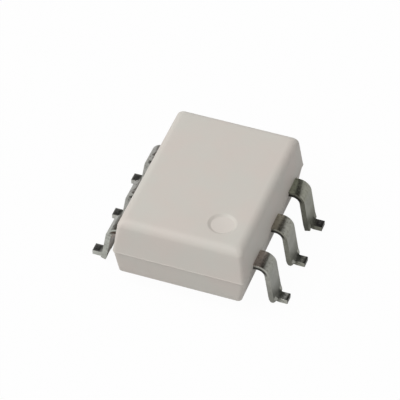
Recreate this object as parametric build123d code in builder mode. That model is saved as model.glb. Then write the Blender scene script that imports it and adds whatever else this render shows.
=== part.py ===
from build123d import *
import os
from math import cos, radians, sin, tan

# Six-pin optocoupler: white moulded package with gull-wing leads for surface mounting.
# Millimetres. The origin is the centre of the footprint on the board, +Z is up.
# Pins 1, 2 and 3 are on +X and pins 4, 5 and 6 on -X, with pins 1 and 6 at the -Y end.

# Package body
body_length = 8.65
body_width = 6.40
upper_height = 1.82
lower_height = 1.36
standoff = 0.79
upper_draft = 6.5
lower_draft = 8.0
parting_step = 0.02
upright_radius = 0.18
top_corner_radius = 0.48
top_edge_radius = 0.45
bottom_edge_chamfer = 0.06

# Index dimple beside pin 1, and the ejector mark under the body
dimple_diameter = 1.34
dimple_depth = 0.09
dimple_slope_run = 0.14
dimple_from_side = 1.65
dimple_from_end = 1.68
ejector_diameter = 1.60
ejector_depth = 0.06

# Lead frame
pin_pitch = 2.54
lead_thickness = 0.25
lead_span = 9.60
blade_width = 1.05
foot_width = 0.48
knee_reach = 0.50
knee_radius = 0.36
heel_radius = 0.22
lead_tilt = 9.4

# Shoulders of a blade beside its foot: how far they turn with the heel, in degrees, the height of
# their ends, and their outer rounding and inner bevel as shares of a shoulder's width
rolled_angle = 50
rolled_end_height = 0.04
rolled_rounding_ratio = 0.85
straight_angle = 8
straight_end_height = 0.08
straight_rounding_ratio = 0.45
pointed_angle = 6
pointed_end_height = 0.02
pointed_rounding_ratio = 0.20
pointed_bevel_ratio = 0.65
plain_bevel_ratio = 0.10

# Parts of the lead frame inside the body
root_length = 1.00
lock_hole_length = 0.36
lock_hole_width = 0.45
lock_hole_from_wall = 0.58
isolation_gap = 0.80
frame_gap = 0.30
paddle_length = 1.45
paddle_width = 1.50
neck_width = 0.70
finger_pad_length = 0.90
finger_pad_width = 0.60
spare_length = 0.55
spare_width = 1.60
stamped_radius = 0.08

# Chips, their glue and the wires
emitter_size = 0.35
emitter_height = 0.22
emitter_from_edge = 0.38
detector_size = 0.95
detector_height = 0.28
detector_from_edge = 0.66
glue_thickness = 0.03
emitter_glue_margin = 0.06
detector_glue_margin = 0.08
wire_diameter = 0.03
ball_diameter = 0.09
ball_height = 0.03
stitch_length = 0.10
stitch_width = 0.06
stitch_height = 0.015
wire_neck = 0.18
wire_rise = 0.26
wire_shoulder = 0.10
bond_pad_offset = 0.30

# Clear silicone over the chips
light_guide_length = 4.30
light_guide_width = 3.50
light_guide_height = 1.10

# Levels and places that follow from the sizes above
lead_plane = standoff + lower_height
lead_bottom = lead_plane - lead_thickness / 2
lead_top = lead_plane + lead_thickness / 2
body_top = lead_plane + upper_height
wall_x = body_width / 2
root_x = wall_x - root_length
tip_x = isolation_gap / 2
finger_y = paddle_width / 2 + frame_gap + finger_pad_width / 2
finger_x = tip_x + finger_pad_length / 2
emitter_x = tip_x + emitter_from_edge
detector_x = -(tip_x + detector_from_edge)
emitter_top = lead_top + glue_thickness + emitter_height
detector_top = lead_top + glue_thickness + detector_height

# Lead places in the XZ plane, on the inner face of the bent strip
leg_turn = 90 - lead_tilt
lean = radians(lead_tilt)
heel_outer_radius = heel_radius + lead_thickness
knee_setback = knee_radius * tan(radians(leg_turn) / 2)
heel_setback = heel_outer_radius * tan(radians(leg_turn) / 2)
knee_x = wall_x + knee_reach
heel_x = knee_x + lead_bottom * tan(lean)
bend_start = (heel_x - heel_setback * sin(lean), heel_setback * cos(lean))
foot_tip = (lead_span / 2, 0)


def formed_lead(turn, end_height, rounding, bevel):
    """A bent lead on +X at y = 0: a wide blade with shoulders beside the heel, and a narrow foot."""
    shoulder_width = (blade_width - foot_width) / 2
    shoulder_slope = radians(lead_tilt + turn)
    turned_height = heel_outer_radius * (1 - sin(shoulder_slope))
    straight_length = (turned_height - end_height) / cos(shoulder_slope)
    with BuildPart() as lead:
        with BuildSketch(Plane.XZ):
            with BuildLine():
                root = Line((root_x, lead_bottom), (knee_x - knee_setback, lead_bottom))
                knee = JernArc(root @ 1, root % 1, knee_radius, -leg_turn)
                blade = Line(knee @ 1, bend_start)
                shoulder = JernArc(blade @ 1, blade % 1, heel_outer_radius, turn)
                shoulder_end = Line(shoulder @ 1, shoulder @ 1 + shoulder % 1 * straight_length)
                offset(amount=lead_thickness, side=Side.LEFT)
            make_face()
        extrude(amount=blade_width / 2, both=True)

        # The stamped outline of the blade, seen along its thickness at the end of the shoulders
        end = shoulder_end @ 1
        down = shoulder_end % 1
        end_plane = Plane((end.X, 0, end.Y), x_dir=(0, 1, 0), z_dir=(-down.Y, 0, down.X))
        with BuildSketch(end_plane) as stamped:
            Rectangle(blade_width, lead_span, align=(Align.CENTER, Align.MIN))
            fillet(stamped.vertices().group_by(Axis.Y)[0], rounding * shoulder_width)
            Rectangle(foot_width, straight_length, align=(Align.CENTER, Align.MIN), mode=Mode.SUBTRACT)
            inner_corners = stamped.vertices().group_by(Axis.Y)[0].sort_by(Axis.X)[1:-1]
            chamfer(inner_corners, bevel * shoulder_width)
        extrude(amount=lead_span, both=True, mode=Mode.INTERSECT)

        with BuildSketch(Plane.XZ):
            with BuildLine():
                heel = JernArc(bend_start, blade % 1, heel_outer_radius, leg_turn)
                Line(heel @ 1, foot_tip)
                offset(amount=lead_thickness, side=Side.LEFT)
            make_face()
        extrude(amount=foot_width / 2, both=True)
        with Locations((wall_x - lock_hole_from_wall, 0, lead_plane)):
            Box(lock_hole_length, lock_hole_width, lead_thickness, mode=Mode.SUBTRACT)
    return lead.part


rolled_lead = formed_lead(
    rolled_angle, rolled_end_height, rolled_rounding_ratio, plain_bevel_ratio
)
straight_lead = formed_lead(
    straight_angle, straight_end_height, straight_rounding_ratio, plain_bevel_ratio
)
pointed_lead = formed_lead(
    pointed_angle, pointed_end_height, pointed_rounding_ratio, pointed_bevel_ratio
)


# Six leads, stamped from one strip; the plans below are what each has inside the body
strip_plane = Plane.XY.offset(lead_bottom)


def finger_lead(outer_lead):
    """Lead 1, with the finger inside the body on which a bond wire ends."""
    with BuildPart() as lead:
        with Locations((0, -pin_pitch, 0)):
            add(outer_lead)
        with BuildSketch(strip_plane) as finger:
            with BuildLine():
                Polyline(
                    (root_x, blade_width / 2 - pin_pitch),
                    (tip_x + finger_pad_length, finger_pad_width / 2 - finger_y),
                    (tip_x, finger_pad_width / 2 - finger_y),
                    (tip_x, -finger_pad_width / 2 - finger_y),
                    (finger_x, -finger_pad_width / 2 - finger_y),
                    (root_x, -blade_width / 2 - pin_pitch),
                    close=True,
                )
            make_face()
            fillet(finger.vertices().sort_by(Axis.X)[:-2], stamped_radius)
        extrude(amount=lead_thickness)
    return lead


lead_1_anode = finger_lead(rolled_lead)

with BuildPart() as lead_2_cathode:
    add(rolled_lead)
    with BuildSketch(strip_plane) as paddle:
        with Locations((tip_x + paddle_length / 2, 0)):
            Rectangle(paddle_length, paddle_width)
        fillet(paddle.vertices(), stamped_radius)
        with Locations((root_x, 0)):
            neck_length = root_x - tip_x - paddle_length / 2
            Rectangle(neck_length, neck_width, align=(Align.MAX, Align.CENTER))
    extrude(amount=lead_thickness)

with BuildPart() as lead_3_spare:
    with Locations((0, pin_pitch, 0)):
        add(pointed_lead)
    with BuildSketch(strip_plane) as anchor:
        with Locations((root_x, pin_pitch)):
            Rectangle(spare_length, spare_width, align=(Align.MAX, Align.CENTER))
        fillet(anchor.vertices(), stamped_radius)
    extrude(amount=lead_thickness)

with BuildPart() as lead_4_emitter:
    with Locations(Rotation(0, 0, 180)):
        add(lead_1_anode.part)

with BuildPart() as lead_5_collector:
    with Locations(Rotation(0, 0, 180)):
        add(lead_2_cathode.part)

with BuildPart() as lead_6_base:
    mirror(finger_lead(straight_lead).part, about=Plane.YZ)

leads = (lead_1_anode, lead_2_cathode, lead_3_spare, lead_4_emitter, lead_5_collector, lead_6_base)


# Chips on their glue
def square_block(x, size, bottom, height):
    """A square block on the centre line of the package, for a chip or the glue below it."""
    with BuildPart() as block:
        with Locations((x, 0, bottom)):
            Box(size, size, height, align=(Align.CENTER, Align.CENTER, Align.MIN))
    return block


glue_top = lead_top + glue_thickness
emitter_glue_size = emitter_size + 2 * emitter_glue_margin
detector_glue_size = detector_size + 2 * detector_glue_margin
emitter_glue = square_block(emitter_x, emitter_glue_size, lead_top, glue_thickness)
emitter_chip = square_block(emitter_x, emitter_size, glue_top, emitter_height)
detector_glue = square_block(detector_x, detector_glue_size, lead_top, glue_thickness)
detector_chip = square_block(detector_x, detector_size, glue_top, detector_height)


# Bond wires
def bond_wire(x, y, chip_top, pad_x, pad_y):
    """A gold wire: a ball on the chip, a loop, and a flat stitch on the pad of a lead."""
    start = Vector(x, y, chip_top)
    along = Vector(pad_x - x, pad_y - y, 0)
    loop_plane = Plane(start, x_dir=along, z_dir=along.cross(Vector(0, 0, 1)))
    stitch_plane = Plane((pad_x, pad_y, lead_top), x_dir=along, z_dir=(0, 0, 1))
    with BuildPart() as wire:
        with BuildLine(loop_plane):
            landing = (along.length, lead_top - chip_top)
            Polyline((0, 0), (0, wire_neck), (wire_shoulder, wire_rise), landing)
        with BuildSketch(Plane.XY.offset(chip_top)):
            with Locations((x, y)):
                Circle(wire_diameter / 2)
        sweep(transition=Transition.RIGHT)
        with Locations(start):
            Cylinder(ball_diameter / 2, ball_height, align=(Align.CENTER, Align.CENTER, Align.MIN))
        with BuildSketch(stitch_plane):
            Rectangle(stitch_length, stitch_width)
        extrude(amount=stitch_height)
        split(bisect_by=Plane.XY.offset(lead_top), keep=Keep.TOP)
    return wire


emitter_wire = bond_wire(emitter_x, 0, emitter_top, finger_x, -finger_y)
detector_base_wire = bond_wire(detector_x, -bond_pad_offset, detector_top, -finger_x, -finger_y)
detector_emitter_wire = bond_wire(detector_x, bond_pad_offset, detector_top, -finger_x, finger_y)


# Drop of clear silicone over both chips, which carries the light across the gap
cap_radius = (light_guide_height**2 + (light_guide_width / 2) ** 2) / (2 * light_guide_height)
cap_half_length = cap_radius * light_guide_length / light_guide_width
cap_centre = lead_top + light_guide_height - cap_radius
cap_middle = (0, cap_centre)

with BuildPart() as drop:
    with BuildSketch(Plane.XZ):
        with BuildLine():
            EllipticalCenterArc(cap_middle, cap_half_length, cap_radius, start_angle=0, arc_size=180)
            Line((-cap_half_length, cap_centre), (cap_half_length, cap_centre))
        make_face()
    revolve(axis=Axis((0, 0, cap_centre), (1, 0, 0)))
    split(bisect_by=Plane.XY.offset(lead_top), keep=Keep.TOP)

with BuildPart() as light_guide:
    add(drop.part)
    for inner in (emitter_glue, emitter_chip, detector_glue, detector_chip):
        add(inner.part, mode=Mode.SUBTRACT)
    for wire in (emitter_wire, detector_base_wire, detector_emitter_wire):
        add(wire.part, mode=Mode.SUBTRACT)


# Moulded body, in two halves that meet at the parting plane
upper_inset = upper_height * tan(radians(upper_draft))
lower_inset = parting_step + (lower_height - bottom_edge_chamfer) * tan(radians(lower_draft))
lower_levels = (
    (lead_plane, parting_step),
    (standoff + bottom_edge_chamfer, lower_inset),
    (standoff, lower_inset + bottom_edge_chamfer),
)

with BuildPart() as moulded_body:
    with BuildSketch(Plane.XY.offset(lead_plane)):
        RectangleRounded(body_width, body_length, upright_radius)
    with BuildSketch(Plane.XY.offset(body_top)):
        RectangleRounded(body_width - 2 * upper_inset, body_length - 2 * upper_inset, top_corner_radius)
    loft(ruled=True)
    fillet(moulded_body.edges().group_by(Axis.Z)[-1], top_edge_radius)
    for level, inset in lower_levels:
        with BuildSketch(Plane.XY.offset(level)):
            RectangleRounded(body_width - 2 * inset, body_length - 2 * inset, upright_radius)
    loft(ruled=True)
    with Locations((wall_x - dimple_from_side, dimple_from_end - body_length / 2, body_top)):
        Cone(
            dimple_diameter / 2 - dimple_slope_run,
            dimple_diameter / 2,
            dimple_depth,
            align=(Align.CENTER, Align.CENTER, Align.MAX),
            mode=Mode.SUBTRACT,
        )
    with Locations((0, 0, standoff)):
        Cylinder(
            ejector_diameter / 2,
            ejector_depth,
            align=(Align.CENTER, Align.CENTER, Align.MIN),
            mode=Mode.SUBTRACT,
        )
    add(drop.part, mode=Mode.SUBTRACT)
    for lead in leads:
        add(lead.part, mode=Mode.SUBTRACT)


pieces = {
    "moulded_body": moulded_body,
    "light_guide": light_guide,
    "lead_1_anode": lead_1_anode,
    "lead_2_cathode": lead_2_cathode,
    "lead_3_spare": lead_3_spare,
    "lead_4_emitter": lead_4_emitter,
    "lead_5_collector": lead_5_collector,
    "lead_6_base": lead_6_base,
    "emitter_glue": emitter_glue,
    "emitter_chip": emitter_chip,
    "emitter_wire": emitter_wire,
    "detector_glue": detector_glue,
    "detector_chip": detector_chip,
    "detector_base_wire": detector_base_wire,
    "detector_emitter_wire": detector_emitter_wire,
}

os.makedirs("parts", exist_ok=True)
for name, piece in pieces.items():
    piece.part.label = name
    export_step(piece.part, f"parts/{name}.step")
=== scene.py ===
from collections import namedtuple
from math import cos, pi, radians, sin, tan

import bmesh
import bpy
from mathutils import Matrix, Vector


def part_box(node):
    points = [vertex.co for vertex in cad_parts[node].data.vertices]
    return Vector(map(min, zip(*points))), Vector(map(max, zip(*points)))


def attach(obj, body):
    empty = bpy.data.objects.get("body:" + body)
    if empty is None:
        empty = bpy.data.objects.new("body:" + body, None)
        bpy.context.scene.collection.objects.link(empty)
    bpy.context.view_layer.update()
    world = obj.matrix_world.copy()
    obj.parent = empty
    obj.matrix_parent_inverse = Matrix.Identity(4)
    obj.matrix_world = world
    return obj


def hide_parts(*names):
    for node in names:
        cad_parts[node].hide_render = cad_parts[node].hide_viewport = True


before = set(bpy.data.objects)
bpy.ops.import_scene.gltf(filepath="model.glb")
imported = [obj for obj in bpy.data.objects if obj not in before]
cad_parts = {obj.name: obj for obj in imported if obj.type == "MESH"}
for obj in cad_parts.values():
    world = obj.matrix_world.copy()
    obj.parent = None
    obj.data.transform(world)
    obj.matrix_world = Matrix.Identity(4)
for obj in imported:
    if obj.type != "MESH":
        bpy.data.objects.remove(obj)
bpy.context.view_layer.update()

MM = 0.001
MICRON = 0.001 * MM

# Places that come from the frame
body_low, body_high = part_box("moulded_body")
lead_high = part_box("lead_1_anode")[1]
lead_thickness = 0.25 * MM
parting_z = lead_high.z - lead_thickness / 2
foot_end = lead_high.x

# The moulding. Drafts, step and recesses are the part's own. Round the top edge its corners in plan
# stay about as sharp as at the parting line, as in the photograph
upper_draft = radians(6.5)
lower_draft = radians(8.0)
parting_step = 0.02 * MM
flash_out = 0.012 * MM
flash_half = 0.012 * MM
upright_radius = 0.18 * MM
top_corner_radius = 0.24 * MM
top_edge_radius = 0.45 * MM
bottom_edge_radius = 0.07 * MM
dimple_radius = 0.67 * MM
dimple_floor_radius = 0.53 * MM
dimple_depth = 0.09 * MM
dimple_rim = 0.03 * MM
dimple_from_side = 1.65 * MM
dimple_from_end = 1.68 * MM
ejector_radius = 0.80 * MM
ejector_floor_radius = 0.785 * MM
ejector_bevel = 0.01 * MM
ejector_depth = 0.06 * MM

# How finely the moulding's surface is divided
corner_steps = 10
side_steps = 40
circle_steps = 72
bottom_edge_steps = 5
top_edge_steps = 14
lower_side_shares = (0.25, 0.5, 0.75, 0.97)
upper_side_shares = (0.05, 0.33, 0.66)

# Bends of the leads
bend_begin = 3.395 * MM
knee_axis_z = 1.675 * MM
heel_axis_x = 4.434 * MM
heel_axis_z = 0.47 * MM
heel_radius = 0.22 * MM

# Rounding of the leads' stamped edges
stamped_edge = 0.022 * MM
stamped_edge_steps = 3
sharp_from = radians(35)
flat_below = radians(1)
merge_distance = 0.5 * MICRON
flat_face_weight = 100

# Where each lead stands along the package
pin_pitch = 2.54 * MM
pin_row = {
    "lead_1_anode": -pin_pitch,
    "lead_2_cathode": 0,
    "lead_3_spare": pin_pitch,
    "lead_4_emitter": pin_pitch,
    "lead_5_collector": 0,
    "lead_6_base": -pin_pitch,
}

# Contacts on the chips, and the detector's guard ring
contact_radius = 0.07 * MM
bond_pad_size = 0.13 * MM
bond_pad_offset = 0.30 * MM
guard_ring_half_width = 0.02 * MM

# Places of the guard ring and of the active area's edge, as shares of the detector's half width
guard_ring_place = 0.84
active_area_edge = (0.74, 0.78)

# Camera, from the fit to the photograph
camera_azimuth = radians(19.63)
camera_elevation = radians(43.88)
camera_roll = radians(0.256)
camera_distance = 129.115 * MM
camera_right = -0.43597 * MM
camera_up = 1.83928 * MM
focal_pixels = 2746.83
image_pixels = 400
sensor_width = 36.0
clip_start = 1 * MM
clip_end = 100

# Studio
lamp_level = 0.66
lamp_azimuth = radians(-54)
lamp_elevation = radians(55)
lamp_softness = radians(40)
ambient_level = 0.45
white = (1, 1, 1)
white_level = 1.0
overhead_level = 0.14
overhead_heights = (0.46, 0.64)
floor_reach = 400 * MM
floor_grey = (0.68, 0.68, 0.68)
floor_white_to_camera = 0.97
floor_white_to_gloss = 0.70

# Stretches of values that become shares from 0 to 1: where most of a noise's values lie, and how
# far a face has to look to the side, up or in
noise_core = (0.3, 0.7)
side_facing = (0.5, 0.8)
top_facing = (0.3, 0.7)
in_facing = (0.4, 0.8)
shoulder_facing = (0.20, 0.60)
chip_top_facing = (0.5, 0.9)

# Strengths of single marks
dimple_paleness = 0.7
root_line_strength = 0.92
oxide_strength = 0.9
contact_relief = 0.5

# Colours of the moulding
epoxy_warm = (0.602, 0.551, 0.505)
epoxy_cool = (0.586, 0.562, 0.515)
epoxy_fleck = (0.36, 0.34, 0.31)
epoxy_in_dimple = (0.660, 0.612, 0.566)

# Colours of the marks on the leads
# Painted dark reflection over the bend
bend_reflection_dark = (0.05, 0.048, 0.038)
line_black = (0.015, 0.014, 0.012)
line_brown = (0.045, 0.020, 0.008)
rust_light = (0.34, 0.20, 0.10)
rust_dark = (0.055, 0.026, 0.012)
spot_dark = (0.06, 0.045, 0.035)
# Painted sheen on the shoulders beside the foot
shoulder_sheen_pale = (0.46, 0.46, 0.42)
# Painted shade in the heel's crease
heel_shade_dark = (0.04, 0.04, 0.034)
rim_pale = (0.300, 0.294, 0.270)
cut_dark = (0.03, 0.026, 0.022)
foot_end_dark = (0.04, 0.038, 0.034)

# Where the marks on the leads begin and end, in millimetres: out from the package's middle,
root_ends_out = (3.56, 3.68)
spots_thin_out = (3.75, 4.10)
foot_begins_out = (4.40, 4.50)
band_begins_over = 0.10
band_ends_over = 0.07
# above the board,
heel_shade_ends_up = (0.30, 0.48)
shoulder_ends_up = (0.35, 0.50)
scuffs_end_up = (0.50, 1.10)
blade_pales_up = (0.50, 1.70)
bend_pales_up = (1.75, 2.10)
stains_begin_up = (0.75, 1.15)
right_line_begins_up = (1.70, 1.90)
left_line_begins_up = (1.84, 2.00)
# across the lead from its middle line,
heel_shade_ends_across = (0.23, 0.31)
heel_shade_grows_along = (-0.24, 0.12)
shoulder_begins_across = (0.26, 0.30)
rim_begins_across = (0.15, 0.21)
# from the axes of the two bends,
line_ends_from_knee = (0.47, 0.53)
heel_shade_ends_over = (0.01, 0.06)
# and back from the foot's end
foot_end_darkens_back = (0.14, 0.06)
rim_begins_back = (0.10, 0.04)
cut_begins_back = (0.012, 0.004)

# How each lead's plate looks, beginning with its tones on each kind of face: blade, cut side, root,
# inner face and foot. These tones are partly the plate's own colour and partly painted light: they
# differ between faces that look different ways, and between the two rows, to stand in for the shade
# and reflections on each face, and the inner faces of leads 4 and 5 are painted near white to lift
# the shade by the knee. The other values are
# - band, band_from, band_to: strength of the dark band painted over the bend as a reflection, and
#   where it begins and ends (in millimetres from the package's middle)
# - spots, brown: strength of the dark spots and of the brown tarnish
# - fade: how much the blade darkens downwards
# - rim: how much paler the foot's rim is
# - slant: how far the band leans along the package
Finish = namedtuple(
    "Finish", "blade side root inner foot band band_from band_to spots brown fade rim slant"
)
finishes = {
    "lead_1_anode": Finish(
        blade=(0.300, 0.302, 0.270), side=(0.40, 0.40, 0.36), root=(0.46, 0.395, 0.35),
        inner=(0.30, 0.30, 0.27), foot=(0.52, 0.52, 0.49),
        band=0.82, band_from=3.46, band_to=3.72,
        spots=0.35, brown=0.0, fade=1.0, rim=0.0, slant=0.0,
    ),
    "lead_2_cathode": Finish(
        blade=(0.300, 0.300, 0.262), side=(0.31, 0.31, 0.265), root=(0.43, 0.40, 0.32),
        inner=(0.30, 0.30, 0.26), foot=(0.36, 0.36, 0.32),
        band=0.86, band_from=3.44, band_to=3.70,
        spots=0.45, brown=0.0, fade=1.0, rim=0.0, slant=0.0,
    ),
    "lead_3_spare": Finish(
        blade=(0.280, 0.282, 0.235), side=(0.18, 0.18, 0.148), root=(0.37, 0.39, 0.305),
        inner=(0.30, 0.30, 0.26), foot=(0.075, 0.072, 0.07),
        band=0.97, band_from=3.38, band_to=3.68,
        spots=0.35, brown=0.0, fade=1.0, rim=0.0, slant=0.15,
    ),
    # The inner faces of leads 4 and 5 are painted near white: a painted highlight that lifts the
    # shade by the knee
    "lead_4_emitter": Finish(
        blade=(0.36, 0.355, 0.33), side=(0.42, 0.42, 0.39), root=(0.34, 0.325, 0.31),
        inner=(0.95, 0.94, 0.90), foot=(0.080, 0.080, 0.075),
        band=0.45, band_from=3.30, band_to=3.68,
        spots=0.80, brown=0.0, fade=0.0, rim=0.6, slant=-0.15,
    ),
    "lead_5_collector": Finish(
        blade=(0.36, 0.355, 0.33), side=(0.42, 0.42, 0.39), root=(0.32, 0.305, 0.285),
        inner=(0.95, 0.94, 0.90), foot=(0.080, 0.080, 0.075),
        band=0.45, band_from=3.30, band_to=3.68,
        spots=0.85, brown=0.0, fade=0.0, rim=0.6, slant=0.0,
    ),
    "lead_6_base": Finish(
        blade=(0.44, 0.44, 0.41), side=(0.46, 0.47, 0.43), root=(0.17, 0.155, 0.13),
        inner=(0.100, 0.084, 0.055), foot=(0.090, 0.090, 0.085),
        band=0.75, band_from=3.30, band_to=3.76,
        spots=0.60, brown=0.9, fade=0.0, rim=0.6, slant=0.0,
    ),
}


# Node helpers
def feed(tree, node, inputs):
    """Gives a node's inputs, by name or number, their values or the sockets that drive them."""
    for key, value in inputs.items():
        if isinstance(value, bpy.types.NodeSocket):
            tree.links.new(value, node.inputs[key])
        else:
            node.inputs[key].default_value = value


def add_node(tree, kind, inputs=None, **settings):
    """A node with its settings and its inputs."""
    made = tree.nodes.new(kind)
    for key, value in settings.items():
        setattr(made, key, value)
    feed(tree, made, inputs or {})
    return made


def new_material(name):
    """A material, its tree and its shader."""
    material = bpy.data.materials.new(name)
    material.use_nodes = True
    tree = material.node_tree
    return material, tree, tree.nodes["Principled BSDF"]


def scaled(tree, vector, factor):
    """A vector or a colour times a factor."""
    inputs = {0: vector, "Scale": factor}
    return add_node(tree, "ShaderNodeVectorMath", inputs, operation="SCALE").outputs[0]


def split(tree, vector):
    """The three parts of a vector."""
    return add_node(tree, "ShaderNodeSeparateXYZ", {0: vector}).outputs


def millimetres(tree):
    """The object's own coordinates, in millimetres."""
    coordinates = add_node(tree, "ShaderNodeTexCoord")
    return scaled(tree, coordinates.outputs["Object"], 1 / MM)


def face_normal(tree):
    """The direction that a face looks in."""
    return add_node(tree, "ShaderNodeNewGeometry").outputs["True Normal"]


def noise_value(tree, place, per_mm, detail=2.0, roughness=0.5, stretch=None):
    """Noise from 0 to 1, with about per_mm lumps to a millimetre, stretched where asked."""
    if stretch is not None:
        inputs = {0: place, 1: stretch}
        place = add_node(tree, "ShaderNodeVectorMath", inputs, operation="MULTIPLY").outputs[0]
    inputs = {"Vector": place, "Scale": per_mm, "Detail": detail, "Roughness": roughness}
    return add_node(tree, "ShaderNodeTexNoise", inputs).outputs["Fac"]


def spread(tree, value, low, high, to_low=0.0, to_high=1.0):
    """A value's stretch from low to high, spread over to_low to to_high and held there."""
    ends = {"From Min": low, "From Max": high, "To Min": to_low, "To Max": to_high}
    return add_node(tree, "ShaderNodeMapRange", {"Value": value, **ends}, clamp=True).outputs[0]


def maths(tree, operation, first, second=0.0):
    """The result of one sum on two values."""
    return add_node(tree, "ShaderNodeMath", {0: first, 1: second}, operation=operation).outputs[0]


def times(tree, *values):
    """The product of some values."""
    product = values[0]
    for value in values[1:]:
        product = maths(tree, "MULTIPLY", product, value)
    return product


def rest_of(tree, share):
    """What a share leaves of one."""
    return maths(tree, "SUBTRACT", 1.0, share)


def distance(tree, first, second):
    """The distance of a point from an axis, from its two offsets."""
    squares = maths(tree, "ADD", times(tree, first, first), times(tree, second, second))
    return maths(tree, "SQRT", squares)


def inside(tree, value, half):
    """One where a value is within half of zero, with a soft edge a tenth as wide."""
    away = maths(tree, "ABSOLUTE", value)
    return spread(tree, away, 0.95 * half, 1.05 * half, 1.0, 0.0)


def opaque(colour):
    """A colour of red, green and blue as a node takes it, with full alpha."""
    return (*colour, 1)


def mix_value(tree, share, first, second):
    """Two values mixed by a share."""
    return add_node(tree, "ShaderNodeMix", {"Factor": share, 2: first, 3: second}).outputs[0]


def mix_colour(tree, share, first, second):
    """Two colours mixed by a share, each a socket or red, green and blue."""
    first, second = (opaque(c) if isinstance(c, tuple) else c for c in (first, second))
    inputs = {"Factor": share, 6: first, 7: second}
    return add_node(tree, "ShaderNodeMix", inputs, data_type="RGBA").outputs[2]


def bump(tree, height, depth, below=None):
    """A bump of the given real depth, over another bump where one is given."""
    inputs = {"Height": height, "Distance": depth, "Strength": 1.0}
    if below is not None:
        inputs["Normal"] = below
    return add_node(tree, "ShaderNodeBump", inputs).outputs[0]


# Camera and studio
def direction(azimuth, elevation):
    """The unit vector towards a place round and above the object."""
    return Vector((
        sin(azimuth) * cos(elevation),
        -cos(azimuth) * cos(elevation),
        sin(elevation),
    ))


def place_camera():
    """The camera at the photograph's angle, aimed beside the origin by the two offsets."""
    back = direction(camera_azimuth, camera_elevation)
    level_right = Vector((cos(camera_azimuth), sin(camera_azimuth), 0))
    level_up = back.cross(level_right)
    right = level_right * cos(camera_roll) + level_up * sin(camera_roll)
    up = level_up * cos(camera_roll) - level_right * sin(camera_roll)
    data = bpy.data.cameras.new("camera")
    data.sensor_width = sensor_width
    data.lens = focal_pixels * sensor_width / image_pixels
    data.clip_start = clip_start
    data.clip_end = clip_end
    camera = bpy.data.objects.new("camera", data)
    bpy.context.scene.collection.objects.link(camera)
    place = Matrix((right, up, back)).transposed().to_4x4()
    place.translation = right * camera_right + up * camera_up + back * camera_distance
    camera.matrix_world = place
    bpy.context.scene.camera = camera


def world_light():
    """Even ambient light. The camera and glass see it as white, and metal sees it dark overhead."""
    world = bpy.data.worlds.new("studio")
    world.use_nodes = True
    bpy.context.scene.world = world
    tree = world.node_tree
    tree.nodes.clear()
    rays = add_node(tree, "ShaderNodeLightPath").outputs
    height = split(tree, add_node(tree, "ShaderNodeTexCoord").outputs["Generated"])[2]
    overhead = spread(tree, height, *overhead_heights, white_level, overhead_level)
    reflected = mix_value(tree, rays["Is Glossy Ray"], ambient_level, overhead)
    seen = maths(tree, "MAXIMUM", rays["Is Camera Ray"], rays["Is Transmission Ray"])
    level = mix_value(tree, seen, reflected, white_level)
    light = {"Color": opaque(white), "Strength": level}
    background = add_node(tree, "ShaderNodeBackground", light)
    add_node(tree, "ShaderNodeOutputWorld", {"Surface": background.outputs[0]})


def key_light():
    """One broad soft lamp, high up at the front left."""
    data = bpy.data.lights.new("key", "SUN")
    data.energy = lamp_level * pi
    data.angle = lamp_softness
    lamp = bpy.data.objects.new("key", data)
    bpy.context.scene.collection.objects.link(lamp)
    towards = direction(lamp_azimuth, lamp_elevation)
    lamp.rotation_euler = towards.to_track_quat("Z", "Y").to_euler()


def white_floor():
    """A plain pale floor that shows as white, with a trace of the part's shadow."""
    builder = bmesh.new()
    bmesh.ops.create_grid(builder, x_segments=1, y_segments=1, size=floor_reach)
    mesh = bpy.data.meshes.new("floor")
    builder.to_mesh(mesh)
    builder.free()
    floor = bpy.data.objects.new("floor", mesh)
    bpy.context.scene.collection.objects.link(floor)
    material, tree, shader = new_material("floor")
    tree.nodes.remove(shader)
    rays = add_node(tree, "ShaderNodeLightPath").outputs
    lit = add_node(tree, "ShaderNodeBsdfDiffuse", {"Color": opaque(floor_grey)})
    light = {"Color": opaque(white), "Strength": white_level}
    shining = add_node(tree, "ShaderNodeEmission", light)
    seen = times(tree, rays["Is Camera Ray"], floor_white_to_camera)
    reflected = times(tree, rays["Is Glossy Ray"], floor_white_to_gloss)
    share = maths(tree, "MAXIMUM", seen, reflected)
    shaders = {0: share, 1: lit.outputs[0], 2: shining.outputs[0]}
    mixed = add_node(tree, "ShaderNodeMixShader", shaders)
    feed(tree, tree.nodes["Material Output"], {"Surface": mixed.outputs[0]})
    mesh.materials.append(material)


# Material of the moulding
def white_epoxy():
    """Off-white moulding compound with a fine spark-eroded matt texture and faint tone changes."""
    material, tree, shader = new_material("white_epoxy")
    place = millimetres(tree)
    grain = noise_value(tree, place, per_mm=22, detail=3.0, roughness=0.6)
    cloud = noise_value(tree, place, per_mm=0.6)
    fleck = noise_value(tree, place, per_mm=45, detail=1.0)
    waves = noise_value(tree, place, per_mm=1.4, detail=1.0)

    # The floor of the dimple is a little paler
    x, y, z = split(tree, place)
    from_x = maths(tree, "SUBTRACT", x, (body_high.x - dimple_from_side) / MM)
    from_y = maths(tree, "SUBTRACT", y, (body_low.y + dimple_from_end) / MM)
    on_floor = inside(tree, distance(tree, from_x, from_y), dimple_floor_radius / MM)
    upper_half = spread(tree, z, parting_z / MM, body_high.z / MM)
    paler = times(tree, on_floor, upper_half, dimple_paleness)

    colour = mix_colour(tree, spread(tree, cloud, 0.35, 0.65), epoxy_warm, epoxy_cool)
    colour = mix_colour(tree, spread(tree, fleck, 0.70, 0.85, 0.0, 0.18), colour, epoxy_fleck)
    colour = mix_colour(tree, paler, colour, epoxy_in_dimple)
    feed(tree, shader, {
        "Base Color": colour,
        "Roughness": spread(tree, grain, *noise_core, 0.48, 0.66),
        "Specular IOR Level": 0.35,
        "Normal": bump(tree, grain, 2.5 * MICRON, bump(tree, waves, 6 * MICRON)),
    })
    return material


# Material of the leads
Zones = namedtuple(
    "Zones", "place z out outward along across facing_up side top inner foot_top off_foot"
)
Grain = namedtuple("Grain", "draw blotch spots crackle mottle")


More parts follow.
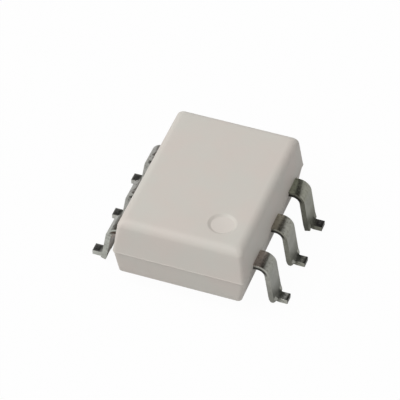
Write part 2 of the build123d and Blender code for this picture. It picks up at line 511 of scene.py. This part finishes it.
def lead_zones(tree, name):
    """Where a point lies on a lead, in millimetres, and masks of the lead's faces and foot."""
    place = millimetres(tree)
    x, y, z = split(tree, place)
    out = maths(tree, "ABSOLUTE", x)
    outward = 1 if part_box(name)[1].x > 0 else -1
    along = maths(tree, "SUBTRACT", y, pin_row[name] / MM)
    normal_x, normal_y, normal_z = split(tree, face_normal(tree))
    turned_in = maths(tree, "SUBTRACT", times(tree, normal_x, -outward), normal_z)
    top = spread(tree, normal_z, *top_facing)
    foot = spread(tree, out, *foot_begins_out)
    return Zones(
        place=place,
        z=z,
        out=out,
        outward=outward,
        along=along,
        across=maths(tree, "ABSOLUTE", along),
        facing_up=normal_z,
        side=spread(tree, maths(tree, "ABSOLUTE", normal_y), *side_facing),
        top=top,
        inner=spread(tree, turned_in, *in_facing),
        foot_top=times(tree, foot, top),
        off_foot=rest_of(tree, foot),
    )


def lead_grain(tree, place):
    """Streaks drawn along the strip, blotches, spots, crackle of stretched plate, and mottle."""
    drawn = (0.25, 3.0, 0.25)
    stretched = (3.0, 0.8, 1.0)
    return Grain(
        draw=noise_value(tree, place, per_mm=9, detail=3.0, roughness=0.6, stretch=drawn),
        blotch=noise_value(tree, place, per_mm=2.4),
        spots=noise_value(tree, place, per_mm=7.5),
        crackle=noise_value(tree, place, per_mm=11, detail=3.0, roughness=0.65, stretch=stretched),
        mottle=noise_value(tree, place, per_mm=9.0, detail=3.0, roughness=0.6),
    )


def face_tones(tree, zones, grain, finish):
    """The plate's tone on each kind of face, partly painted light, streaked, and darker down the
    blade.
    """
    root = times(tree, spread(tree, zones.out, *root_ends_out, 1.0, 0.0), zones.top)
    colour = mix_colour(tree, zones.side, finish.blade, finish.side)
    colour = mix_colour(tree, zones.inner, colour, finish.inner)
    colour = mix_colour(tree, root, colour, finish.root)
    colour = mix_colour(tree, zones.foot_top, colour, finish.foot)

    streaks = spread(tree, grain.draw, 0.25, 0.75, 0.84, 1.16)
    blotches = spread(tree, grain.blotch, *noise_core, 0.93, 1.07)
    blade_level = spread(tree, zones.z, *blade_pales_up, 0.72, 0.86)
    bend_level = spread(tree, zones.z, *bend_pales_up, 0.0, 0.18)
    level = maths(tree, "ADD", blade_level, bend_level)
    faded = mix_value(tree, times(tree, zones.off_foot, finish.fade), 1.0, level)
    foot_mottle = spread(tree, grain.mottle, 0.35, 0.65, 0.55, 1.5)
    mottled = mix_value(tree, zones.foot_top, 1.0, foot_mottle)
    return scaled(tree, colour, times(tree, streaks, blotches, faded, mottled))


def bend_painted_reflection(tree, zones, grain, finish):
    """Dark band painted over the bend as the reflection its curved top shows, crackled like
    stretched plate, with a clean edge.
    """
    slanted = maths(tree, "ADD", zones.out, times(tree, zones.along, finish.slant))
    first = spread(tree, slanted, finish.band_from, finish.band_from + band_begins_over)
    last = spread(tree, slanted, finish.band_to - band_ends_over, finish.band_to, 1.0, 0.0)
    crackled = spread(tree, grain.crackle, 0.30, 0.60, 0.45, 1.0)
    return times(tree, first, zones.top, last, crackled, finish.band)


def root_line(tree, zones):
    """Line along the lower half of the root's cut side, from the wall round the bend."""
    past_bend = maths(tree, "MAXIMUM", maths(tree, "SUBTRACT", zones.out, bend_begin / MM), 0.0)
    above_axis = maths(tree, "SUBTRACT", zones.z, knee_axis_z / MM)
    from_knee_axis = distance(tree, past_bend, above_axis)
    lower_half = spread(tree, from_knee_axis, *line_ends_from_knee, 1.0, 0.0)
    line_begins_up = right_line_begins_up if zones.outward > 0 else left_line_begins_up
    near_wall = spread(tree, zones.z, *line_begins_up)
    return times(tree, lower_half, near_wall, zones.side, root_line_strength)


def brown_stains(tree, zones, finish):
    """Brown tarnish that ran down the inner face from the root."""
    run_down = (1.0, 1.6, 0.7)
    runs = noise_value(tree, zones.place, per_mm=5.0, detail=3.0, roughness=0.6, stretch=run_down)
    upper = spread(tree, zones.z, *stains_begin_up)
    return times(tree, zones.inner, upper, spread(tree, runs, 0.38, 0.50), finish.brown)


def dark_spots(tree, zones, grain, finish):
    """Dark spots, most of them near the bend."""
    near_knee = spread(tree, zones.out, *spots_thin_out, 1.0, 0.2)
    return times(tree, spread(tree, grain.spots, 0.55, 0.64), near_knee, finish.spots)


def painted_shoulder_sheen(tree, zones, finish):
    """Painted sheen: brighter plate on the shoulders beside the foot, painted on where they face
    the dark overhead.
    """
    turned_up = spread(tree, zones.facing_up, *shoulder_facing)
    low = spread(tree, zones.z, *shoulder_ends_up, 1.0, 0.0)
    beside_foot = spread(tree, zones.across, *shoulder_begins_across)
    return times(tree, turned_up, low, beside_foot, finish.fade)


def heel_shade(tree, zones, grain):
    """Painted shade in the heel's crease: dark inside of the heel, as wide as the foot and fainter
    towards pin 1.
    """
    from_axis_x = maths(tree, "SUBTRACT", zones.out, heel_axis_x / MM)
    from_axis_z = maths(tree, "SUBTRACT", zones.z, heel_axis_z / MM)
    from_heel_axis = distance(tree, from_axis_x, from_axis_z)
    fades_over = [heel_radius / MM + over for over in heel_shade_ends_over]
    return times(
        tree,
        spread(tree, from_heel_axis, *fades_over, 1.0, 0.0),
        rest_of(tree, zones.side),
        spread(tree, zones.z, *heel_shade_ends_up, 1.0, 0.0),
        spread(tree, zones.across, *heel_shade_ends_across, 1.0, 0.0),
        spread(tree, zones.along, *heel_shade_grows_along, 0.35, 1.0),
        spread(tree, grain.mottle, 0.3, 0.6, 0.50, 0.90),
    )


def near_tip(tree, zones, begins_back):
    """The last stretch of the foot, over the two distances from its end."""
    return spread(tree, zones.out, *(foot_end / MM - back for back in begins_back))


def foot_rim(tree, zones, finish):
    """Paler rim round some feet."""
    beside = spread(tree, zones.across, *rim_begins_across)
    rim = maths(tree, "MAXIMUM", beside, near_tip(tree, zones, rim_begins_back))
    return times(tree, rim, zones.foot_top, finish.rim)


def darker_foot_end(tree, zones, grain, finish):
    """Darker towards the end of the feet that have no pale rim."""
    smeared = times(tree, near_tip(tree, zones, foot_end_darkens_back), zones.foot_top, 1 - finish.rim)
    return times(tree, smeared, spread(tree, grain.mottle, 0.3, 0.6, 0.6, 1.0))


def tinned_copper(name, finish):
    """Dull tin plate on copper: drawn streaks, tarnish at the root, dark cut ends, spots, and
    painted light: a dark reflection over the bend, a sheen on the shoulders and shade in the heel.
    """
    material, tree, shader = new_material("tinned_copper_" + name)
    zones = lead_zones(tree, name)
    grain = lead_grain(tree, zones.place)
    rust = mix_colour(tree, spread(tree, grain.spots, 0.42, 0.58), rust_light, rust_dark)
    marks = (
        # Painted dark reflection over the bend
        (bend_painted_reflection(tree, zones, grain, finish), bend_reflection_dark),
        (root_line(tree, zones), line_brown if finish.brown else line_black),
        (brown_stains(tree, zones, finish), rust),
        (dark_spots(tree, zones, grain, finish), spot_dark),
        # Painted sheen on the shoulders
        (painted_shoulder_sheen(tree, zones, finish), shoulder_sheen_pale),
        # Painted shade in the heel's crease
        (heel_shade(tree, zones, grain), heel_shade_dark),
        (foot_rim(tree, zones, finish), rim_pale),
        (near_tip(tree, zones, cut_begins_back), cut_dark),
        (darker_foot_end(tree, zones, grain, finish), foot_end_dark),
    )
    colour = face_tones(tree, zones, grain, finish)
    for share, mark_colour in marks:
        colour = mix_colour(tree, share, colour, mark_colour)

    # The brown tarnish is an oxide, so it is hardly metallic, and the blade is scuffed low down
    oxide = times(tree, zones.inner, finish.brown, oxide_strength)
    scuffed = times(tree, spread(tree, zones.z, *scuffs_end_up, 0.24, 0.0), zones.off_foot)
    drawn = spread(tree, grain.draw, 0.2, 0.8, 0.34, 0.46)
    feed(tree, shader, {
        "Base Color": colour,
        "Metallic": rest_of(tree, oxide),
        "Roughness": maths(tree, "ADD", drawn, scuffed),
        "Normal": bump(tree, grain.draw, 3 * MICRON, bump(tree, grain.mottle, 4 * MICRON)),
    })
    return material


# Materials of what is inside the moulding
def clear_silicone():
    """Soft clear silicone with a faintly rippled skin, a trace of haze and a few tiny bubbles."""
    material, tree, shader = new_material("clear_silicone")
    place = millimetres(tree)
    haze = noise_value(tree, place, per_mm=1.2)
    bubbles = spread(tree, noise_value(tree, place, per_mm=9, detail=0.0), 0.74, 0.80)
    ripples = noise_value(tree, place, per_mm=1.8, detail=1.0)
    feed(tree, shader, {
        "Base Color": mix_colour(tree, haze, (0.93, 0.95, 0.96), (0.97, 0.97, 0.95)),
        "Roughness": spread(tree, haze, *noise_core, 0.04, 0.14),
        "Transmission Weight": 1.0,
        "IOR": 1.41,
        "Normal": bump(tree, bubbles, 8 * MICRON, bump(tree, ripples, 20 * MICRON)),
    })
    return material


def silver_glue():
    """Epoxy filled with silver flakes: grey, matt, and grainy where the flakes lie."""
    material, tree, shader = new_material("silver_glue")
    flakes = noise_value(tree, millimetres(tree), per_mm=40, detail=3.0, roughness=0.7)
    feed(tree, shader, {
        "Base Color": mix_colour(tree, flakes, (0.40, 0.39, 0.36), (0.80, 0.79, 0.76)),
        "Metallic": 0.8,
        "Roughness": spread(tree, flakes, *noise_core, 0.65, 0.40),
        "Normal": bump(tree, flakes, 3 * MICRON),
    })
    return material


def chip_places(tree, middle):
    """Offsets from a chip's middle along x and y, in millimetres, and a mask of its top face."""
    x, y, _ = split(tree, millimetres(tree))
    _, _, up = split(tree, face_normal(tree))
    from_x = maths(tree, "SUBTRACT", x, middle.x)
    from_y = maths(tree, "SUBTRACT", y, middle.y)
    return from_x, from_y, spread(tree, up, *chip_top_facing)


def saw_marks(tree, per_mm):
    """Rough streaks that the saw left on a chip's sides."""
    along_cut = (1.0, 1.0, 4.0)
    place = millimetres(tree)
    return noise_value(tree, place, per_mm=per_mm, detail=3.0, roughness=0.6, stretch=along_cut)


def emitter_crystal():
    """Infrared emitter: dark polished crystal with a round gold contact and rough sawn sides."""
    material, tree, shader = new_material("emitter_crystal")
    low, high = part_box("emitter_chip")
    from_x, from_y, top_face = chip_places(tree, (low + high) / 2 / MM)
    contact = inside(tree, distance(tree, from_x, from_y), contact_radius / MM)
    contact = times(tree, contact, top_face)
    saw = saw_marks(tree, per_mm=30)
    colour = mix_colour(tree, saw, (0.10, 0.10, 0.12), (0.20, 0.20, 0.22))
    colour = mix_colour(tree, top_face, colour, (0.09, 0.08, 0.11))
    colour = mix_colour(tree, contact, colour, (0.92, 0.70, 0.33))
    feed(tree, shader, {
        "Base Color": colour,
        "Metallic": contact,
        "Roughness": spread(tree, top_face, 0.0, 1.0, 0.55, 0.14),
        "Normal": bump(tree, times(tree, saw, rest_of(tree, top_face)), 3 * MICRON),
    })
    return material


def detector_silicon():
    """Phototransistor: glassed silicon with two aluminium pads, a guard ring and sawn sides."""
    material, tree, shader = new_material("detector_silicon")
    low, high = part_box("detector_chip")
    half = (high.x - low.x) / 2 / MM
    from_x, from_y, top_face = chip_places(tree, (low + high) / 2 / MM)
    from_x = maths(tree, "ABSOLUTE", from_x)
    from_y = maths(tree, "ABSOLUTE", from_y)
    outwards = maths(tree, "MAXIMUM", from_x, from_y)

    # The two pads lie on the middle line, one each side of the middle
    pad_half = bond_pad_size / MM / 2
    from_pad = maths(tree, "SUBTRACT", from_y, bond_pad_offset / MM)
    pads = times(tree, inside(tree, from_x, pad_half), inside(tree, from_pad, pad_half))
    from_ring = maths(tree, "SUBTRACT", outwards, guard_ring_place * half)
    ring = inside(tree, from_ring, guard_ring_half_width / MM)
    metal = times(tree, maths(tree, "MAXIMUM", pads, ring), top_face)

    active_ends = [share * half for share in active_area_edge]
    active = spread(tree, outwards, *active_ends, 1.0, 0.0)
    film = mix_colour(tree, active, (0.10, 0.15, 0.26), (0.16, 0.20, 0.40))
    saw = saw_marks(tree, per_mm=26)
    colour = mix_colour(tree, saw, (0.14, 0.15, 0.17), (0.25, 0.26, 0.28))
    colour = mix_colour(tree, top_face, colour, film)
    colour = mix_colour(tree, metal, colour, (0.85, 0.85, 0.86))
    rough_sides = times(tree, saw, rest_of(tree, top_face))
    raised = maths(tree, "ADD", rough_sides, times(tree, metal, contact_relief))
    feed(tree, shader, {
        "Base Color": colour,
        "Metallic": metal,
        "Roughness": spread(tree, top_face, 0.0, 1.0, 0.55, 0.16),
        "Coat Weight": 0.3,
        "Coat Roughness": 0.05,
        "Normal": bump(tree, raised, 3 * MICRON),
    })
    return material


def gold_wire():
    """Drawn gold with fine die lines and a slightly dimpled skin."""
    material, tree, shader = new_material("gold_wire")
    lines = noise_value(tree, millimetres(tree), per_mm=60, roughness=0.6)
    feed(tree, shader, {
        "Base Color": mix_colour(tree, lines, (0.90, 0.66, 0.28), (1.00, 0.77, 0.38)),
        "Metallic": 1.0,
        "Roughness": spread(tree, lines, *noise_core, 0.18, 0.32),
        "Normal": bump(tree, lines, 0.6 * MICRON),
    })
    return material


def dress_inside():
    """Gives the pieces inside the moulding, which keep the CAD's own form, their materials."""
    glue = silver_glue()
    gold = gold_wire()
    inside_materials = {
        "light_guide": clear_silicone(),
        "emitter_glue": glue,
        "emitter_chip": emitter_crystal(),
        "emitter_wire": gold,
        "detector_glue": glue,
        "detector_chip": detector_silicon(),
        "detector_base_wire": gold,
        "detector_emitter_wire": gold,
    }
    for name, material in inside_materials.items():
        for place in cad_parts[name].material_slots:
            place.material = material


# Meshes
def finish_mesh(name, builder, material, body="root", stands_for=()):
    """Turns a bmesh into a piece that rides on the part."""
    mesh = bpy.data.meshes.new(name)
    bmesh.ops.recalc_face_normals(builder, faces=builder.faces)
    builder.to_mesh(mesh)
    builder.free()
    piece = bpy.data.objects.new(name, mesh)
    bpy.context.scene.collection.objects.link(piece)
    mesh.materials.append(material)
    mesh.polygons.foreach_set("use_smooth", [True] * len(mesh.polygons))
    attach(piece, body)
    if stands_for:
        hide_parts(*stands_for)
    return piece


def circle(x, y, radius, z):
    """Points round a circle at one level."""
    turns = [2 * pi * step / circle_steps for step in range(circle_steps)]
    return [Vector((x + radius * cos(turn), y + radius * sin(turn), z)) for turn in turns]


def outline(inset, radius, z):
    """Points round the body at one level: a rectangle that is inset from the widest outline."""
    half_x = body_high.x - inset
    half_y = body_high.y - inset
    corners = (
        (half_x - radius, half_y - radius, 0),
        (radius - half_x, half_y - radius, 90),
        (radius - half_x, radius - half_y, 180),
        (half_x - radius, radius - half_y, 270),
    )
    points = []
    for index, (x, y, start) in enumerate(corners):
        for step in range(corner_steps + 1):
            turn = radians(start + 90 * step / corner_steps)
            points.append(Vector((x + radius * cos(turn), y + radius * sin(turn), z)))
        next_x, next_y, next_start = corners[(index + 1) % 4]
        turn = radians(next_start)
        far = Vector((next_x + radius * cos(turn), next_y + radius * sin(turn), z))
        near = points[-1]
        for step in range(1, side_steps):
            points.append(near.lerp(far, step / side_steps))
    return points


def add_ring(builder, points):
    """The points of one ring."""
    return [builder.verts.new(point) for point in points]


def join_rings(builder, rings):
    """Faces between each ring and the next, which has as many points."""
    for first, second in zip(rings, rings[1:]):
        for here in range(len(first)):
            after = (here + 1) % len(first)
            builder.faces.new((first[here], first[after], second[after], second[here]))


def ring_edges(ring):
    """The edges that join a ring's points."""
    edges = []
    for point, after in zip(ring, ring[1:] + ring[:1]):
        edges.append(next(e for e in point.link_edges if e.other_vert(point) is after))
    return edges


def recess(builder, x, y, level, profile):
    """A round recess: rings from its rim to its floor, and the floor. Returns the rim's ring."""
    rings = [add_ring(builder, circle(x, y, radius, level + rise)) for radius, rise in profile]
    join_rings(builder, rings)
    builder.faces.new(rings[-1])
    return rings[0]


def arc_profile(centre_inset, centre_z, radius, start, end, steps):
    """Inset and level along a rounded edge, from one angle above the horizontal to another."""
    turns = [start + (end - start) * step / steps for step in range(steps + 1)]
    return [(centre_inset - radius * cos(turn), centre_z + radius * sin(turn)) for turn in turns]


def body_levels():
    """Inset, level and corner radius of the outside's rings, from the bottom face to the top."""
    upper_height = body_high.z - parting_z
    lower_height = parting_z - body_low.z

    # Rounded bottom edge, and the lower half's side
    edge_rise = (lower_height - bottom_edge_radius) * tan(lower_draft)
    edge_centre = parting_step + edge_rise + bottom_edge_radius / cos(lower_draft)
    edge_level = body_low.z + bottom_edge_radius
    edge = arc_profile(
        edge_centre, edge_level, bottom_edge_radius, -pi / 2, -lower_draft, bottom_edge_steps
    )
    levels = [(inset, z, upright_radius) for inset, z in edge]
    low_inset, low_z = edge[-1]
    for share in lower_side_shares:
        inset = low_inset + (parting_step - low_inset) * share
        levels.append((inset, low_z + (parting_z - low_z) * share, upright_radius))

    # Flash at the parting line
    levels.append((parting_step, parting_z - flash_half, upright_radius))
    levels.append((-flash_out, parting_z - flash_half / 2, upright_radius + flash_out))
    levels.append((-flash_out, parting_z, upright_radius + flash_out))
    levels.append((0, parting_z + flash_half, upright_radius))

    # The upper half's side, and the rounded top edge
    setback = top_edge_radius * tan((pi / 2 - upper_draft) / 2)
    side_height = upper_height - setback * cos(upper_draft)
    for share in upper_side_shares:
        rise = side_height * share
        radius = upright_radius + (top_corner_radius - upright_radius) * share
        levels.append((rise * tan(upper_draft), parting_z + rise, radius))
    edge_centre = upper_height * tan(upper_draft) + setback
    edge_level = body_high.z - top_edge_radius
    edge = arc_profile(
        edge_centre, edge_level, top_edge_radius, upper_draft, pi / 2, top_edge_steps
    )
    levels.extend((inset, z, top_corner_radius) for inset, z in edge)
    return levels


def moulded_body():
    """The moulding's outside, with its rounded edges, the flash and both recesses."""
    builder = bmesh.new()
    rings = [add_ring(builder, outline(inset, radius, z)) for inset, z, radius in body_levels()]
    join_rings(builder, rings)

    # Radius and rise of each ring, from the softened rim to the floor
    dimple = (
        (dimple_radius + dimple_rim, 0),
        (dimple_radius + 0.3 * dimple_rim, -0.06 * dimple_rim),
        (dimple_radius - 0.4 * dimple_rim, -0.4 * dimple_rim),
        (dimple_floor_radius + 1.2 * dimple_rim, -dimple_depth + 0.8 * dimple_rim),
        (dimple_floor_radius + 0.3 * dimple_rim, -dimple_depth + 0.2 * dimple_rim),
        (dimple_floor_radius - 0.6 * dimple_rim, -dimple_depth),
    )
    ejector = (
        (ejector_radius, 0),
        (ejector_radius - ejector_bevel, ejector_bevel),
        (ejector_floor_radius, ejector_depth),
    )
    dimple_x = body_high.x - dimple_from_side
    dimple_y = body_low.y + dimple_from_end
    dimple_ring = recess(builder, dimple_x, dimple_y, body_high.z, dimple)
    ejector_ring = recess(builder, 0, 0, body_low.z, ejector)
    for edge, hole in ((rings[-1], dimple_ring), (rings[0], ejector_ring)):
        edges = ring_edges(edge) + ring_edges(hole)
        bmesh.ops.triangle_fill(builder, edges=edges, use_beauty=True)
    finish_mesh("epoxy_moulding", builder, white_epoxy(), stands_for=("moulded_body",))


def dressed_lead(name, finish):
    """A lead in the node's own form, with its sharp stamped edges rounded."""
    material = tinned_copper(name, finish)
    builder = bmesh.new()
    builder.from_mesh(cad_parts[name].data)
    bmesh.ops.remove_doubles(builder, verts=builder.verts, dist=merge_distance)
    bmesh.ops.dissolve_limit(
        builder, angle_limit=flat_below, verts=builder.verts, edges=builder.edges
    )
    sharp = [
        edge for edge in builder.edges
        if edge.is_manifold and edge.calc_face_angle() > sharp_from
    ]
    bmesh.ops.bevel(
        builder, geom=sharp, offset=stamped_edge, segments=stamped_edge_steps, profile=0.5,
        affect="EDGES", clamp_overlap=True,
    )
    piece = finish_mesh(
        name + "_plated", builder, material, stands_for=(name,)
    )
    even_normals(piece)


def even_normals(piece):
    """Keeps wide faces flat where they meet the narrow faces of a rounded edge."""
    piece.modifiers.new("normals", "WEIGHTED_NORMAL").weight = flat_face_weight
    depsgraph = bpy.context.evaluated_depsgraph_get()
    mesh = bpy.data.meshes.new_from_object(piece.evaluated_get(depsgraph), depsgraph=depsgraph)
    piece.modifiers.clear()
    piece.data = mesh


place_camera()
world_light()
key_light()
white_floor()
moulded_body()
dress_inside()
for name, finish in finishes.items():
    dressed_lead(name, finish)

bpy.context.scene.view_settings.view_transform = "Standard"
